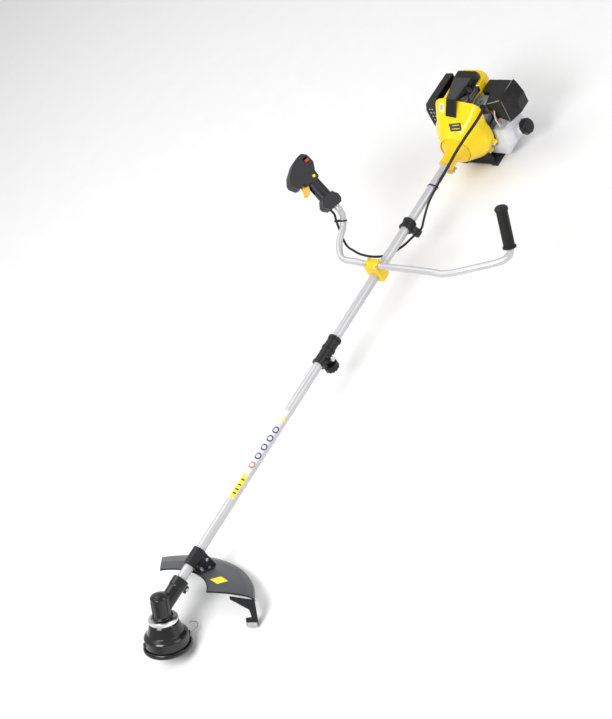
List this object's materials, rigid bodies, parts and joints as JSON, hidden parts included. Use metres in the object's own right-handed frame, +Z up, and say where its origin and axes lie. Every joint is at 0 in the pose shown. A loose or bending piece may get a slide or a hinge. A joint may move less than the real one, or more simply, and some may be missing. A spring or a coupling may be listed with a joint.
{
  "type": "string trimmer",
  "caption": "Straight two-piece shaft with a rear engine, uneven bent handlebar, angled gearbox, line head and a part-round guard.",
  "frame": {"origin": "under the middle of the whole machine, on the floor it lies on", "axes": "+X along the shaft from the trimmer head to the engine, +Y to the operator's right, +Z up"},
  "size_m": [1.9018, 0.707, 0.4002],
  "materials": {
    "tube_paint": "silver-white enamel on drawn tube",
    "bush_plastic": "moulded bush",
    "black_casting": "black painted casting",
    "guard_plastic": "dark grey moulding",
    "black_plastic": "satin black moulding",
    "black_sheet": "black heat-proof paint on pressed sheet",
    "steel": "machined",
    "bright_alloy": "turned",
    "cast_alloy": "as cast",
    "line_nylon": "extruded nylon",
    "yellow_metal": "yellow paint on casting",
    "yellow_plastic": "glossy yellow moulding",
    "grip_rubber": "ribbed rubber",
    "red_plastic": "red moulding",
    "conduit_rubber": "ribbed conduit",
    "tank_plastic": "translucent blow moulding",
    "reel_plastic": "nylon"
  },
  "bodies": {
    "power_unit": {"upper_tube": "tube_paint", "upper_bushes": "bush_plastic", "coupler_sleeve": "black_plastic", "handle_clamp_base": "yellow_metal", "handle_clamp_cap": "yellow_metal", "handlebar": "tube_paint", "left_grip": "grip_rubber", "throttle_grip_inner": "black_plastic", "throttle_grip_outer": "black_plastic", "harness_clamp": "black_plastic", "throttle_conduit": "conduit_rubber", "cable_ties": "black_plastic", "body_screws": "steel", "clutch_housing": "yellow_metal", "fan_cover": "yellow_plastic", "top_cover": "black_plastic", "rear_shroud": "yellow_plastic", "crankcase": "cast_alloy", "engine_cylinder": "cast_alloy", "spark_plug": "conduit_rubber", "muffler": "steel", "muffler_guard": "black_sheet", "carburettor": "cast_alloy", "air_filter_base": "black_plastic", "air_filter_cover": "black_plastic", "fuel_tank": "tank_plastic", "engine_stand": "black_plastic", "starter_housing": "black_plastic"},
    "lower_shaft": {"lower_tube": "tube_paint", "lower_bushes": "bush_plastic", "gearbox_housing": "black_casting", "guard_bracket": "black_casting", "guard_shell": "guard_plastic", "guard_skirt": "black_plastic", "line_cutter": "steel", "guard_screws": "steel"},
    "lower_drive": {"lower_drive_shaft": "steel", "bevel_pinion": "steel"},
    "output": {"output_gear": "steel", "blade_flange": "bright_alloy", "head_housing": "black_plastic", "head_cover": "black_plastic", "trimmer_line": "line_nylon"},
    "bump_feed": {"line_spool": "black_plastic", "bump_knob": "black_plastic"},
    "upper_drive": {"upper_drive_shaft": "steel", "clutch_drum": "steel"},
    "coupler_screw": {"coupler_knob": "black_plastic"},
    "latch": {"latch_pin": "steel"},
    "crank": {"crankshaft": "steel", "flywheel_fan": "cast_alloy"},
    "piston": {"piston_and_rod": "cast_alloy"},
    "trigger": {"throttle_trigger": "yellow_plastic"},
    "lockout": {"lockout_lever": "yellow_plastic"},
    "switch": {"stop_switch": "red_plastic"},
    "hold": {"hold_button": "yellow_plastic"},
    "carb_lever": {"throttle_lever": "steel"},
    "reel": {"starter_reel": "reel_plastic"},
    "starter_pull": {"starter_handle": "black_plastic"},
    "cap": {"fuel_cap": "black_plastic"}
  },
  "joints": [
    {"name": "tube_pull", "type": "slide", "parent": "power_unit", "child": "lower_shaft", "axis": [-1, 0, 0], "range_m": [0, 0.07]},
    {"name": "head_spin", "type": "hinge", "parent": "lower_shaft", "child": "output", "pos_m": [-0.84198, 0.0865, 0.12501], "axis": [0.521, 0, 0.8536], "continuous": true},
    {"name": "lower_drive_spin", "type": "hinge", "parent": "lower_shaft", "child": "lower_drive", "pos_m": [-0.44198, 0.0865, 0.12501], "axis": [1, 0, 0], "continuous": true},
    {"name": "upper_drive_spin", "type": "hinge", "parent": "power_unit", "child": "upper_drive", "pos_m": [0.35802, 0.0865, 0.12501], "axis": [1, 0, 0], "continuous": true},
    {"name": "bump_press", "type": "slide", "parent": "output", "child": "bump_feed", "axis": [0.521, 0, 0.8536], "range_m": [0, 0.004], "stiffness_N_per_m": 1500},
    {"name": "coupler_knob_turn", "type": "hinge", "parent": "power_unit", "child": "coupler_screw", "pos_m": [-0.03198, 0.0865, 0.07501], "axis": [0, 0, 1], "range_deg": [0, 340]},
    {"name": "latch_pull", "type": "slide", "parent": "power_unit", "child": "latch", "axis": [0, -1, 0], "range_m": [0, 0.006], "stiffness_N_per_m": 600},
    {"name": "crank_spin", "type": "hinge", "parent": "power_unit", "child": "crank", "pos_m": [0.85802, 0.0865, 0.12501], "axis": [1, 0, 0], "continuous": true},
    {"name": "piston_stroke", "type": "slide", "parent": "power_unit", "child": "piston", "axis": [0, 0, 1], "range_m": [0, 0.032]},
    {"name": "throttle_squeeze", "type": "hinge", "parent": "power_unit", "child": "trigger", "pos_m": [0.38486, 0.30291, 0.34236], "axis": [0, -0.7873, 0.6166], "range_deg": [0, 18], "stiffness_Nm_per_rad": 0.4},
    {"name": "lockout_press", "type": "hinge", "parent": "power_unit", "child": "lockout", "pos_m": [0.41103, 0.29211, 0.32858], "axis": [0, -0.7873, 0.6166], "range_deg": [0, 12], "stiffness_Nm_per_rad": 0.3},
    {"name": "stop_slide", "type": "slide", "parent": "power_unit", "child": "switch", "axis": [0.2307, 0.5999, 0.7661], "range_m": [0, 0.005]},
    {"name": "hold_press", "type": "slide", "parent": "power_unit", "child": "hold", "axis": [0, 0.7873, -0.6166], "range_m": [0, 0.003], "stiffness_N_per_m": 400},
    {"name": "carb_lever_turn", "type": "hinge", "parent": "power_unit", "child": "carb_lever", "pos_m": [0.84602, 0.0185, 0.21001], "axis": [0, 0, 1], "range_deg": [-60, 0]},
    {"name": "starter_pull_up", "type": "slide", "parent": "power_unit", "child": "starter_pull", "axis": [0, 0, 1], "range_m": [0, 0.5], "stiffness_N_per_m": 20},
    {"name": "reel_spin", "type": "hinge", "parent": "power_unit", "child": "reel", "pos_m": [0.92202, 0.0865, 0.12501], "axis": [1, 0, 0], "range_deg": [0, 1100]},
    {"name": "cap_turn", "type": "hinge", "parent": "power_unit", "child": "cap", "pos_m": [0.88402, -0.0515, 0.08101], "axis": [0.094, -0.9397, 0.3289], "range_deg": [0, 340]}
  ],
  "couplings": [
    {"joint": "lower_drive_spin", "follows": "head_spin", "ratio": -1.2667},
    {"joint": "upper_drive_spin", "follows": "head_spin", "ratio": -1.2667},
    {"joint": "carb_lever_turn", "follows": "throttle_squeeze", "ratio": -3},
    {"joint": "reel_spin", "follows": "starter_pull_up", "rad_per_m": 34.483}
  ]
}
